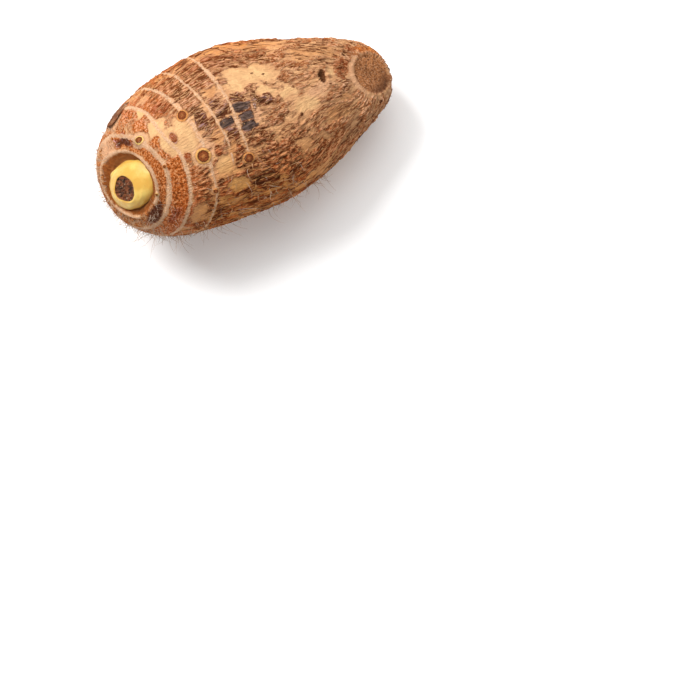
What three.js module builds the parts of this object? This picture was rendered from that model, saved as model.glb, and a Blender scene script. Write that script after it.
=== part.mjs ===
// A taro root: one corm of the small kind (eddoe), dug, trimmed and laid on its belly.
// Millimetres, +Z up. The long axis runs along X with the crown towards -X and the tail, where the
// corm broke off its parent, towards +X. Both ends curl up. The origin is on the resting face,
// under the middle of the whole root's box.
//
// The corm is lofted through leaning oval sections. A place on its skin is (t, round): t counts
// sections from the crown pole, 0, to the tail pole, and round is the angle about the section, from
// 0 at +Y through a quarter turn at the top.
import * as THREE from "three";

// Sections of the corm, from pole to pole. x, y and z are a section's middle, with x from the
// crown's furthest reach and z from the table; lean tips its top towards +X, in degrees.
const SECTIONS = [
  { x: 9.7, y: -3.9, z: 37.4, lean: 47, wide: 0, high: 0 },
  { x: 9.8, y: -3.9, z: 37.3, lean: 47, wide: 5.0, high: 5.0 },
  { x: 10.2, y: -3.8, z: 36.8, lean: 47, wide: 9.4, high: 9.4 },
  { x: 10.8, y: -2.6, z: 33.7, lean: 43, wide: 14.1, high: 13.6 },
  { x: 15.2, y: -1.9, z: 29.8, lean: 37, wide: 18.4, high: 17.7 },
  { x: 21.3, y: -1.1, z: 26.2, lean: 32, wide: 20.9, high: 20.7 },
  { x: 28.5, y: -0.4, z: 23.8, lean: 26, wide: 22.4, high: 22.4 },
  { x: 37.0, y: -0.1, z: 22.0, lean: 16, wide: 23.1, high: 22.9 },
  { x: 46.0, y: -0.5, z: 21.4, lean: 3, wide: 23.0, high: 22.7 },
  { x: 54.8, y: -1.0, z: 21.3, lean: -9, wide: 21.4, high: 22.0 },
  { x: 63.2, y: -1.1, z: 21.5, lean: -18, wide: 18.8, high: 20.5 },
  { x: 70.8, y: -0.6, z: 21.9, lean: -26, wide: 15.5, high: 18.2 },
  { x: 77.0, y: -0.4, z: 22.5, lean: -33, wide: 12.6, high: 14.8 },
  { x: 81.2, y: -0.9, z: 23.4, lean: -41, wide: 9.4, high: 10.3 },
  { x: 82.9, y: -1.2, z: 24.5, lean: -51, wide: 5.8, high: 5.8 },
  { x: 82.9, y: -1.2, z: 24.5, lean: -51, wide: 0, high: 0 },
];
const TAIL_POLE = SECTIONS.length - 1;

// Leaf-scar rings: raised lines round the crown half where leaf bases dropped off.
const RIM = 2; // the collar round the shoot bud
const RINGS = [RIM, 3, 4, 5, 6, 7];
const RING_HEIGHT = 0.35;
const RIM_HEIGHT = 0.8;
const RING_FOOT = 0.7; // half a ring's width

// The cup inside the collar, measured along the crown's own axis down from the pole.
const CUP_RADIUS = 7.6;
const CUP_DEPTH = 2.6;
const CUP_WALL = 1.2; // how far the wall leans out on its way up

// The shoot bud in the cup.
const BUD_RADIUS = 7;
const BUD_HEIGHT = 4.2;
const BUD_BASE_RADIUS = 6.3;
const BUD_TIP_RADIUS = 3.4; // the dried cut on its top
const BUD_TIP_SHIFT = { belly: 0.5, side: -0.9 }; // how far the cut lies off the axis
const CLEARANCE = 0.3; // between pieces that touch

// Lateral buds, or eyes, on the rings: section, angle in degrees, and radius.
const EYES = [
  { t: 2.9, round: 56, radius: 1.9 },
  { t: 4.8, round: 70, radius: 1.8 },
  { t: 4.95, round: 104, radius: 2.6 },
  { t: 7, round: 118, radius: 1.8 },
  { t: 6.05, round: 222, radius: 2.2 },
  { t: 5.05, round: 318, radius: 2.0 },
  { t: 8.3, round: 350, radius: 2.0 },
];
const EYE_HEIGHT = 0.5;
const EYE_TOP = 0.3; // share of the radius that is fully raised
const EYE_FOOT = 1.3; // share of the radius where the rise has run out

// The attachment scar on the tail.
const SCAR_SECTION = TAIL_POLE - 1;
const SCAR_DEPTH = 0.5;

// A dry scale leaf that still hangs on by its root at a ring and lifts towards the crown.
const SCALE = { root: 4.85, tip: 3.85, round: -2, spread: 24, taper: 0.55, thickness: 0.5, lift: 1.2 };

const AROUND = 56; // facets round the corm
const BUD_AROUND = 32;
const SCALE_FACETS = 8; // along the scale and across it
const STEP = 0.01; // a short stretch of a section or an angle, for slopes

// A smooth curve through equally spaced values, mirrored past both ends: as a position where sign is
// 1, and turned over where sign is -1, which closes a radius into a round dome.
function smoothThrough(values, sign) {
  const last = values.length - 1;
  const at = (k) => {
    if (k < 0) return sign * values[-k];
    if (k > last) return sign * values[2 * last - k];
    return values[k];
  };
  return (t) => {
    const i = Math.min(Math.max(Math.floor(t), 0), last - 1);
    const f = t - i;
    const [a, b, c, d] = [at(i - 1), at(i), at(i + 1), at(i + 2)];
    const bend = 2 * a - 5 * b + 4 * c - d + (3 * b - a - 3 * c + d) * f;
    return b + 0.5 * f * (c - a + f * bend);
  };
}

const along = (key, sign) => smoothThrough(SECTIONS.map((section) => section[key]), sign);
const loft = {
  x: along("x", 1),
  y: along("y", 1),
  z: along("z", 1),
  lean: along("lean", 1),
  wide: along("wide", -1),
  high: along("high", -1),
};

// The root is never quite round: slow swellings, as a share of the radius.
function swelling(t, round) {
  const halves = 0.012 * Math.sin(2 * round + 0.9 * t);
  const thirds = 0.01 * Math.sin(3 * round - 0.7 * t + 1);
  const fifths = 0.006 * Math.sin(5 * round + 1.3 * t + 2);
  return 1 + halves + thirds + fifths;
}

function smoothSkin(t, round) {
  const lean = THREE.MathUtils.degToRad(loft.lean(t));
  const swell = swelling(t, round);
  const across = loft.wide(t) * swell * Math.cos(round);
  const up = loft.high(t) * swell * Math.sin(round);
  return new THREE.Vector3(
    loft.x(t) + up * Math.sin(lean),
    loft.y(t) + across,
    loft.z(t) + up * Math.cos(lean),
  );
}

// The crown's axis, pointing out of the root, and the tail's.
function poleAxis(t) {
  const lean = THREE.MathUtils.degToRad(loft.lean(t));
  const outwards = t === 0 ? -1 : 1;
  return new THREE.Vector3(Math.cos(lean), 0, -Math.sin(lean)).multiplyScalar(outwards);
}

function outward(t, round) {
  const inside = THREE.MathUtils.clamp(t, 2 * STEP, TAIL_POLE - 2 * STEP);
  const lengthwise = smoothSkin(inside + STEP, round).sub(smoothSkin(inside - STEP, round));
  const crosswise = smoothSkin(inside, round + STEP).sub(smoothSkin(inside, round - STEP));
  return crosswise.cross(lengthwise).normalize();
}

function eyeRise(place) {
  let rise = 0;
  for (const eye of EYES) {
    const middle = smoothSkin(eye.t, THREE.MathUtils.degToRad(eye.round));
    const away = place.distanceTo(middle) / eye.radius;
    rise = Math.max(rise, EYE_HEIGHT * (1 - THREE.MathUtils.smoothstep(away, EYE_TOP, EYE_FOOT)));
  }
  return rise;
}

// The skin with its rings, eyes, cup and scar. ringRise is a row's own height on a ring.
function skin(t, round, ringRise) {
  const place = smoothSkin(t, round);
  const raised = place.clone().addScaledVector(outward(t, round), ringRise + eyeRise(place));
  if (t < RIM) {
    const pole = smoothSkin(0, 0);
    const axis = poleAxis(0);
    const below = pole.clone().sub(place).dot(axis);
    const radius = loft.wide(t);
    const inCup = 1 - THREE.MathUtils.smoothstep(radius, CUP_RADIUS, CUP_RADIUS + CUP_WALL);
    raised.addScaledVector(axis, -inCup * (CUP_DEPTH - below));
  }
  if (t > SCAR_SECTION) raised.addScaledVector(poleAxis(TAIL_POLE), -SCAR_DEPTH);
  return raised;
}

// The rows of vertices from pole to pole, with three rows on each ring: foot, crest and foot.
function skinRows() {
  const rows = [];
  for (const t of [0, 0.6, 1.1, 1.45, 1.6, 1.72]) rows.push({ t, rise: 0 });
  for (const ring of RINGS) {
    const top = Math.PI / 2;
    const perSection = smoothSkin(ring + STEP, top).distanceTo(smoothSkin(ring, top)) / STEP;
    const foot = RING_FOOT / perSection;
    rows.push({ t: ring - foot, rise: 0 });
    rows.push({ t: ring, rise: ring === RIM ? RIM_HEIGHT : RING_HEIGHT });
    rows.push({ t: ring + foot, rise: 0 });
  }
  const plain = [2.5];
  for (let t = 3.35; t < 7; t += 1) plain.push(t, t + 0.35);
  for (let t = 7.4; t < SCAR_SECTION - 0.2; t += 0.4) plain.push(t);
  const tail = [SCAR_SECTION, SCAR_SECTION + 0.08, SCAR_SECTION + 0.4, SCAR_SECTION + 0.7, TAIL_POLE];
  for (const t of [...plain, ...tail]) rows.push({ t, rise: 0 });
  return rows.sort((a, b) => a.t - b.t);
}

function cormGeometry() {
  const rows = skinRows();
  const onAxis = (row) => row === rows[0] || row === rows[rows.length - 1];
  const profile = rows.map((row, i) => new THREE.Vector2(onAxis(row) ? 0 : 1, i));
  const geometry = new THREE.LatheGeometry(profile, AROUND);
  const places = geometry.getAttribute("position");
  for (let i = 0; i < places.count; i += 1) {
    const row = rows[Math.round(places.getY(i))];
    const round = Math.atan2(places.getX(i), places.getZ(i));
    const place = skin(row.t, onAxis(row) ? 0 : round, row.rise);
    places.setXYZ(i, place.x, place.y, Math.max(place.z, 0));
  }
  geometry.computeVertexNormals();
  return geometry;
}

// The bud is turned about its own axis, which lies along Y until the mesh is placed.
function budGeometry() {
  const side = [
    [0, 0],
    [BUD_BASE_RADIUS, 0],
    [BUD_RADIUS - 0.1, 0.22 * BUD_HEIGHT],
    [BUD_RADIUS, 0.38 * BUD_HEIGHT],
    [0.94 * BUD_RADIUS, 0.56 * BUD_HEIGHT],
    [0.82 * BUD_RADIUS, 0.74 * BUD_HEIGHT],
    [0.64 * BUD_RADIUS, 0.9 * BUD_HEIGHT],
    [BUD_TIP_RADIUS, 0.98 * BUD_HEIGHT],
    [0.8 * BUD_TIP_RADIUS, 0.95 * BUD_HEIGHT],
    [0, BUD_HEIGHT],
  ];
  const profile = side.map(([radius, height]) => new THREE.Vector2(radius, height));
  const geometry = new THREE.LatheGeometry(profile, BUD_AROUND);
  const places = geometry.getAttribute("position");
  for (let i = 0; i < places.count; i += 1) {
    const height = places.getY(i) / BUD_HEIGHT;
    places.setX(i, places.getX(i) + BUD_TIP_SHIFT.belly * height * height);
    places.setZ(i, places.getZ(i) + BUD_TIP_SHIFT.side * height * height);
  }
  geometry.computeVertexNormals();
  return geometry;
}

// A block of one by one by one, bent over the skin: x runs from the root to the tip, z across.
function scaleGeometry() {
  const geometry = new THREE.BoxGeometry(1, 1, 1, SCALE_FACETS, 1, SCALE_FACETS);
  const places = geometry.getAttribute("position");
  for (let i = 0; i < places.count; i += 1) {
    const reach = places.getX(i) + 0.5;
    const layer = places.getY(i) + 0.5;
    const taper = 1 - SCALE.taper * reach * reach;
    const t = THREE.MathUtils.lerp(SCALE.root, SCALE.tip, reach);
    const round = THREE.MathUtils.degToRad(SCALE.round - SCALE.spread * places.getZ(i) * taper);
    const stand = CLEARANCE + RING_HEIGHT + SCALE.lift * reach * reach + SCALE.thickness * layer;
    const place = smoothSkin(t, round).addScaledVector(outward(t, round), stand);
    places.setXYZ(i, place.x, place.y, place.z);
  }
  geometry.computeVertexNormals();
  return geometry;
}

const skinBrown = new THREE.MeshStandardMaterial({ color: 0xb07a4e, roughness: 0.85, metalness: 0 });
const budYellow = new THREE.MeshStandardMaterial({ color: 0xecd468, roughness: 0.5, metalness: 0 });
const dryBrown = new THREE.MeshStandardMaterial({ color: 0x4a2a16, roughness: 0.9, metalness: 0 });

function named(name, geometry, material) {
  const mesh = new THREE.Mesh(geometry, material);
  mesh.name = name;
  return mesh;
}

const corm = named("corm", cormGeometry(), skinBrown);
const scaleLeaf = named("scale_leaf", scaleGeometry(), dryBrown);

const shootBud = named("shoot_bud", budGeometry(), budYellow);
const crownAxis = poleAxis(0);
const acrossCrown = new THREE.Vector3(0, 1, 0);
const towardsBelly = crownAxis.clone().cross(acrossCrown);
const budFrame = new THREE.Matrix4().makeBasis(towardsBelly, crownAxis, acrossCrown);
shootBud.quaternion.setFromRotationMatrix(budFrame);
shootBud.position.copy(smoothSkin(0, 0)).addScaledVector(crownAxis, CLEARANCE - CUP_DEPTH);

const taroRoot = new THREE.Group();
taroRoot.add(corm, shootBud, scaleLeaf);
taroRoot.updateMatrixWorld(true);
const box = new THREE.Box3().setFromObject(taroRoot, true);
taroRoot.position.set(-(box.min.x + box.max.x) / 2, -(box.min.y + box.max.y) / 2, 0);

export default taroRoot;
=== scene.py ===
"""A taro root: the corm with its leaf-scar rings, eyes and corky skin, the trimmed shoot bud in its
crown, a loose dry scale, root hairs and loose fibres, on a plain studio floor.

Shapes are worked out in millimetres in the part's own frame, +X from crown to tail and +Z up, and are
written in metres.
"""
import math
from random import Random

import bmesh
import bpy
import numpy as np
from bpy.props import FloatProperty, FloatVectorProperty, IntProperty, PointerProperty
from bpy.types import Operator, Panel, PropertyGroup
from mathutils import Matrix, Vector, noise


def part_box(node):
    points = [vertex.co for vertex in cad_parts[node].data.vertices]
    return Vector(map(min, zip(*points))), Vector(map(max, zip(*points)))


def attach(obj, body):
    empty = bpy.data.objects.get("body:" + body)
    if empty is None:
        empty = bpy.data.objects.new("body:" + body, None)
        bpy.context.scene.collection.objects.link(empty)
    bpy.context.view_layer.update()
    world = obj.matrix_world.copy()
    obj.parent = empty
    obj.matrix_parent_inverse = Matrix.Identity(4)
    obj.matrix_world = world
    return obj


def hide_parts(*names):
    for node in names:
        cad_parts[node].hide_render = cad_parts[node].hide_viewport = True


bl_info = {
    "name": "Taro Root",
    "version": (1, 0, 0),
    "blender": (4, 5, 0),
    "location": "View3D > Sidebar > Taro Root",
    "description": "Builds a taro corm with its rings, eyes, shoot bud, loose scale and root hairs",
    "category": "Object",
}

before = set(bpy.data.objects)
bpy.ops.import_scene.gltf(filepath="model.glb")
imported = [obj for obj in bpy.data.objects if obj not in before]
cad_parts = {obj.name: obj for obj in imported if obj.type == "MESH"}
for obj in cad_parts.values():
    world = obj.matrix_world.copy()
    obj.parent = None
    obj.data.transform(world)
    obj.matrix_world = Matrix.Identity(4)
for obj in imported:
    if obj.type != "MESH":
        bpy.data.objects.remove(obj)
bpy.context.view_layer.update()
MM = 0.001


def paint(red, green, blue):
    """The linear colour of a screen colour given in 0 to 255."""
    shares = (np.array([red, green, blue]) / 255.0).tolist()
    linear = [s / 12.92 if s <= 0.04045 else ((s + 0.055) / 1.055) ** 2.4 for s in shares]
    return (*linear, 1.0)


# The corm's form

# Sections from the crown pole to the tail pole: middle x, y, z, lean of the top towards +X in
# degrees, half width and half height. x counts from the crown's furthest reach.
SECTIONS = (
    (9.7, -3.9, 37.4, 47, 0, 0),
    (9.8, -3.9, 37.3, 47, 5.0, 5.0),
    (10.2, -3.8, 36.8, 47, 9.4, 9.4),
    (10.8, -2.6, 33.7, 43, 14.1, 13.6),
    (15.2, -1.9, 29.8, 37, 18.4, 17.7),
    (21.3, -1.1, 26.2, 32, 20.9, 20.7),
    (28.5, -0.4, 23.8, 26, 22.4, 22.4),
    (37.0, -0.1, 22.0, 16, 23.1, 22.9),
    (46.0, -0.5, 21.4, 3, 23.0, 22.7),
    (54.8, -1.0, 21.3, -9, 21.4, 22.0),
    (63.2, -1.1, 21.5, -18, 18.8, 20.5),
    (70.8, -0.6, 21.9, -26, 15.5, 18.2),
    (77.0, -0.4, 22.5, -33, 12.6, 14.8),
    (81.2, -0.9, 23.4, -41, 9.4, 10.3),
    (82.9, -1.2, 24.5, -51, 5.8, 5.8),
    (82.9, -1.2, 24.5, -51, 0, 0),
)
TAIL_POLE = len(SECTIONS) - 1
SCAR_EDGE = TAIL_POLE - 1
STEP = 0.01  # a short stretch of a section or an angle, for slopes

# Leaf-scar rings: half width in millimetres, how much of the ring is broken up into beads, how much
# is left of it on the crown's lower side, and the section that it passes through at angles round
# the root, in degrees.
RINGS = (
    (0.45, 0.0, 1.0, (
        (0, 1.94), (24, 1.84), (46, 1.84), (70, 1.94), (90, 2.08), (112, 2.16), (134, 2.18),
        (152, 1.97), (196, 1.93), (240, 1.88), (265, 2.1), (290, 2.3), (312, 2.3), (335, 2.15),
    )),
    (0.62, 0.1, 1.0, (
        (0, 2.8), (16, 2.64), (32, 2.62), (52, 2.72), (76, 2.97), (90, 3.12), (105, 3.21), (126, 3.18),
        (139, 3.12), (153, 3.05), (170, 2.95), (205, 2.9), (250, 3.0), (300, 2.95), (330, 2.88),
    )),
    (0.5, 0.1, 1.0, (
        (0, 4.0), (40, 3.95), (60, 3.75), (75, 3.77), (83, 3.86), (91, 4.02), (110, 4.08),
        (132, 4.1), (150, 4.0), (180, 3.97), (270, 4.05),
    )),
    (0.5, 0.3, 0.7, (
        (0, 5.05), (20, 4.99), (34, 4.94), (57, 4.9), (75, 4.97), (100, 5.07), (115, 5.13),
        (134, 5.25), (160, 5.25), (200, 5.1), (280, 5.0),
    )),
    (0.36, 0.6, 0.2, (
        (0, 5.95), (27, 5.89), (50, 5.81), (68, 5.89), (86, 6.05), (98, 6.16), (130, 6.15),
        (200, 6.0), (280, 6.0),
    )),
    (0.42, 0.7, 0.2, (
        (0, 6.9), (40, 6.89), (61, 6.99), (75, 7.1), (91, 7.03), (107, 7.05), (150, 7.1),
        (220, 7.0), (300, 6.95),
    )),
)
TORN_SIDE = 166  # the middle, in degrees, of the stretch where the first ring is torn away

# The cup in the crown: its radius and depth in millimetres, and the share of the depth that it drops
# at its collar and again at its wall.
CUP_RADIUS = 7.6
CUP_DEPTH = 2.6
CUP_DROP = 0.3

# The shoot bud, in millimetres: its radius, height, foot and dried cut, then how far its tip leans
# down and to the side, and how far its body lies to the side. It is longer down the crown than across.
BUD_RADIUS, BUD_HEIGHT, BUD_FOOT, CUT_RADIUS = 7.0, 4.2, 6.4, 3.5
TIP_DOWN, TIP_SIDE, BODY_SIDE = 0.45, 0.9, 0.4
BODY_LENGTH, BODY_WIDTH = 1.28, 0.92  # the body's share of its round outline, down and across
TIP_LENGTH, TIP_WIDTH = 1.02, 0.98  # the same at the tip
KNOB_SIDE = 61  # where the small knob stands on its shoulder, in degrees

# The scale leaf: where it is fixed, in sections, its reach in sections and its width in degrees.
LEAF_ROOT, LEAF_REACH, LEAF_WIDTH = 4.3, 1.05, 24

# Eyes, the lateral buds: section, angle, radius of the disc, radius of the pale halo, and how
# yellow they are.
EYES = (
    (2.8, 52, 0.85, 2.4, 1.0),
    (4.9, 102, 1.45, 3.0, 0.35),
    (4.83, 68, 1.1, 1.6, 0.0),
    (6.98, 117, 1.15, 1.7, 0.0),
    (3.17, 96, 0.36, 0.6, 0.0),
    (2.15, 127, 0.3, 0.75, 1.0),
    (5.18, 131, 0.55, 1.1, 0.0),
    (6.05, 222, 1.5, 2.6, 0.4),
    (5.05, 318, 1.2, 2.2, 0.8),
    (8.3, 350, 1.3, 2.2, 0.2),
    (4.06, 262, 1.0, 1.8, 0.6),
)

# What a patch of the surface does: how much it adds to the cork that covers the skin, and the
# colour that it brings.
PATCH_KINDS = {
    "cream": (-1.9, paint(216, 172, 122)),
    "tan": (-0.6, paint(204, 148, 98)),
    "pale": (-0.8, paint(214, 164, 124)),
    "cork": (1.0, None),
    "flecks": (0.2, None),
    "orange": (1.4, paint(180, 92, 34)),
    "red": (1.4, paint(148, 72, 34)),
    "dark": (1.5, paint(86, 40, 18)),
    "char": (2.2, paint(74, 60, 58)),
    "plum": (1.5, paint(112, 66, 48)),
    "bare": (-0.5, None),
}

# Patches: kind, section, angle, half length in sections, half width in degrees.
PATCHES = (
    ("orange", 2.6, 92, 0.45, 46), ("orange", 2.5, 42, 0.16, 16), ("red", 2.36, 18, 0.26, 30),
    ("dark", 2.3, 22, 0.21, 16), ("cork", 2.7, 2, 0.3, 14), ("pale", 2.4, 345, 0.5, 18),
    ("pale", 2.82, 64, 0.14, 8), ("dark", 2.5, 160, 0.42, 22), ("orange", 3.6, 118, 0.4, 30),
    ("red", 3.55, 150, 0.22, 11), ("cork", 3.6, 140, 0.45, 40), ("cream", 3.85, 88, 0.3, 5),
    ("cream", 4.0, 80, 0.45, 11), ("cream", 4.6, 82, 0.4, 12), ("cream", 3.7, 60, 0.35, 8),
    ("cream", 3.55, 73, 0.16, 8), ("red", 4.05, 78, 0.17, 5.5), ("red", 4.28, 97, 0.14, 3),
    ("orange", 3.35, 70, 0.2, 8), ("flecks", 3.4, 30, 0.45, 28), ("cork", 3.35, 44, 0.22, 9),
    ("pale", 3.4, 2, 0.5, 9), ("cream", 3.85, 36, 0.24, 6), ("cork", 3.7, 22, 0.2, 5),
    ("red", 4.45, 50, 0.24, 9), ("cork", 4.4, 38, 0.36, 9), ("cork", 5.0, 38, 1.2, 22),
    ("cork", 6.3, 36, 0.9, 22), ("flecks", 7.4, 36, 1.2, 22), ("pale", 4.5, 26, 0.35, 6),
    ("cork", 4.6, 124, 0.36, 15), ("bare", 4.5, 150, 0.35, 10), ("pale", 5.2, 126, 0.2, 12),
    ("pale", 5.25, 97, 0.3, 5), ("pale", 4.95, 56, 0.12, 7), ("plum", 5.5, 79, 0.3, 8),
    ("cork", 5.45, 62, 0.3, 5), ("cork", 5.4, 40, 0.34, 19), ("cream", 5.75, 113, 0.4, 6),
    ("red", 5.62, 103, 0.18, 4), ("tan", 5.8, 94, 0.35, 5), ("cream", 6.3, 134, 0.5, 6.5),
    ("plum", 6.62, 96.3, 0.3, 3.5), ("char", 6.5, 88.8, 0.4, 3.1), ("plum", 6.45, 81.6, 0.4, 3.2),
    ("plum", 6.4, 75, 0.35, 3), ("red", 6.42, 118, 0.17, 4), ("red", 6.62, 107, 0.24, 3.5),
    ("tan", 6.3, 107, 0.2, 5), ("tan", 6.4, 66, 0.4, 5), ("cork", 6.45, 44, 0.36, 18),
    ("pale", 6.4, 25, 0.8, 7), ("char", 7.75, 96.3, 0.52, 2.9), ("char", 7.76, 89.8, 0.5, 2.5),
    ("char", 7.7, 83, 0.56, 3.1), ("plum", 7.6, 75.8, 0.42, 2.6), ("pale", 8.5, 88, 0.28, 8),
    ("plum", 9.1, 83, 0.55, 3.5), ("dark", 8.8, 79, 0.22, 1.6), ("cream", 8.9, 59, 1.15, 9),
    ("cream", 8.0, 66, 0.5, 4), ("cream", 9.4, 75, 0.42, 3), ("dark", 9.06, 58, 0.07, 0.8),
    ("dark", 9.54, 60, 0.06, 1.0), ("cork", 7.5, 44, 0.4, 12), ("cork", 8.3, 38, 0.6, 6),
    ("cork", 9.9, 42, 0.5, 6), ("tan", 8.6, 22, 1.5, 7), ("cream", 10.9, 99, 0.55, 7),
    ("cream", 10.4, 82, 0.42, 4.5), ("dark", 10.55, 105, 0.08, 1.2), ("cork", 8.1, 107, 0.9, 3),
    ("dark", 7.6, 138, 0.6, 8), ("cork", 8.2, 128, 1.2, 8), ("cork", 10.4, 148, 0.9, 9),
    ("tan", 11.9, 127, 0.7, 11), ("tan", 12.7, 112, 0.35, 8), ("flecks", 11.1, 74, 0.7, 7),
    ("pale", 11.9, 92, 0.7, 7), ("dark", 12.12, 76, 0.16, 9), ("cream", 12.6, 72, 0.24, 7),
    ("cork", 10.8, 53, 0.6, 5), ("tan", 11.8, 38, 1.1, 12), ("red", 13.2, 66, 0.42, 19),
    ("dark", 13.12, 34, 0.14, 6), ("red", 13.2, 12, 0.35, 9), ("dark", 13.4, 180, 0.12, 5),
    ("orange", 13.5, 330, 0.4, 40), ("pale", 13.8, 85, 0.16, 60), ("cream", 9.2, 222, 0.9, 10),
    ("cream", 5.5, 262, 0.35, 14), ("char", 7.4, 240, 0.4, 6), ("cream", 11.2, 320, 0.7, 10),
    ("cream", 7.5, 300, 0.6, 9), ("cork", 9.0, 265, 1.6, 22), ("dark", 4.5, 215, 0.35, 15),
    ("tan", 10.5, 190, 0.9, 8),
)

# Cork colours along the root, by section.
CORK_ALONG = (
    (0.0, paint(166, 88, 34)),
    (2.6, paint(180, 94, 34)),
    (3.6, paint(188, 104, 48)),
    (5.0, paint(152, 88, 50)),
    (7.0, paint(142, 80, 46)),
    (10.0, paint(158, 92, 52)),
    (13.0, paint(178, 108, 64)),
    (15.0, paint(180, 114, 72)),
)
# How far the cork covers the skin along the root, by section.
COVER_ALONG = ((0, 0.3), (3, 0.35), (4, 0.2), (6, 0.12), (9, 0.15), (11, -0.15), (13, -0.05), (15, 0.3))

BARE_SKIN = paint(212, 162, 116)
# Painted shade: how the cork's and the bare skin's colour darken and brown on the root's sides and belly,
# as factors.
CORK_BELLY_SHADE = (0.98, 0.56, 0.24)
BARE_BELLY_SHADE = (1.05, 0.79, 0.42)

HAIR_SEED = 41
# The longest hairs: section, angle and length in millimetres.
LONG_HAIRS = (
    (7.7, 152, 10), (7.5, 158, 8), (6.3, 162, 9), (5.7, 160, 6), (3.4, 185, 9), (3.0, 200, 8),
)

# The hollow near the tail and the second scar: section, angle, half length in sections, half width in
# degrees and depth in millimetres.
HOLLOW = (12.12, 76, 0.24, 11, 1.5)
SECOND_SCAR = (13.35, 66, 0.34, 18, 0.5)

# Slow swellings round the root: height as a share of the radius, waves round it, drift along it and
# where they start.
SWELLS = ((0.012, 2, 0.9, 0), (0.01, 3, -0.7, 1), (0.006, 5, 1.3, 2))


def smooth_through(values, sign):
    """A smooth curve through equally spaced values, mirrored past both ends, and turned over there
    where sign is -1, which closes a radius into a dome."""
    v = np.array(values, float)
    known = np.concatenate([[sign * v[1]], v, [sign * v[-2]]])

    def curve(t):
        i = np.clip(np.floor(t).astype(int), 0, len(v) - 2)
        f = t - i
        a, b, c, d = known[i], known[i + 1], known[i + 2], known[i + 3]
        bend = 2 * a - 5 * b + 4 * c - d + (3 * b - a - 3 * c + d) * f
        return b + 0.5 * f * (c - a + f * bend)

    return curve


LOFT = [smooth_through(column, 1 if k < 4 else -1) for k, column in enumerate(zip(*SECTIONS))]


def lofted(t, turn):
    """Places on the smooth skin, before the root is set down in its frame. turn is in radians."""
    x, y, z, lean, wide, high = (curve(t) for curve in LOFT)
    lean = np.radians(lean)
    swell = 1
    for share, waves, drift, start in SWELLS:
        swell = swell + share * np.sin(waves * turn + drift * t + start)
    up = high * swell * np.sin(turn)
    across = wide * swell * np.cos(turn)
    return np.stack([x + up * np.sin(lean), y + across, z + up * np.cos(lean)], -1)


def set_down():
    """How far the loft moves along X and Y to lie in the frame."""
    t, turn = np.meshgrid(np.linspace(0, TAIL_POLE, 301), np.linspace(-math.pi, math.pi, 181))
    places = lofted(t, turn).reshape(-1, 3)
    low, high = (np.array(corner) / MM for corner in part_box("corm"))
    along = high[0] - places[:, 0].max()
    across = (low[1] + high[1] - places[:, 1].min() - places[:, 1].max()) / 2
    return np.array([along, across, 0.0])


SET_DOWN = set_down()


def skin(t, turn):
    return lofted(t, turn) + SET_DOWN


def unit(vectors):
    return vectors / np.maximum(np.linalg.norm(vectors, axis=-1, keepdims=True), 1e-9)


def outward(t, turn):
    """The smooth skin's outward direction, and its direction towards the tail."""
    inside = np.clip(t, 2 * STEP, TAIL_POLE - 2 * STEP)
    lengthwise = lofted(inside + STEP, turn) - lofted(inside - STEP, turn)
    crosswise = lofted(inside, turn + STEP) - lofted(inside, turn - STEP)
    return unit(np.cross(crosswise, lengthwise)), unit(lengthwise)


def run_along(knots, sides):
    """How far each knot lies along the skin from the first, as the mean of several sides in degrees."""
    lines = [lofted(knots, side + 0 * knots) for side in np.radians(sides)]
    steps = np.mean([np.linalg.norm(np.diff(line, axis=0), axis=1) for line in lines], 0)
    return np.concatenate([[0], np.cumsum(steps)])


def section_axis(t):
    """The direction that a section faces, towards the tail."""
    lean = math.radians(float(LOFT[3](np.array(float(t)))))
    return np.array([math.cos(lean), 0.0, -math.sin(lean)])


def smoothstep(low, high, value):
    f = np.clip((value - low) / (high - low), 0, 1)
    return f * f * (3 - 2 * f)


def roughness_field(points, octaves, seed):
    """Fractal noise of about -1 to 1 at each point."""
    shift = Vector((17.3 * seed, -9.1 * seed, 5.7 * seed))
    return np.array([noise.fractal(Vector(p) + shift, 0.8, 2.0, octaves) for p in points.tolist()])


def ring_lines(t, degrees):
    """For each ring, how far past it a place lies, in sections."""
    lines = []
    for *_, places in RINGS:
        sides, sections = zip(*places)
        lines.append(t - np.interp(degrees % 360, sides, sections, period=360))
    return lines


def wrapped(degrees):
    return (degrees + 180.0) % 360.0 - 180.0


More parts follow.
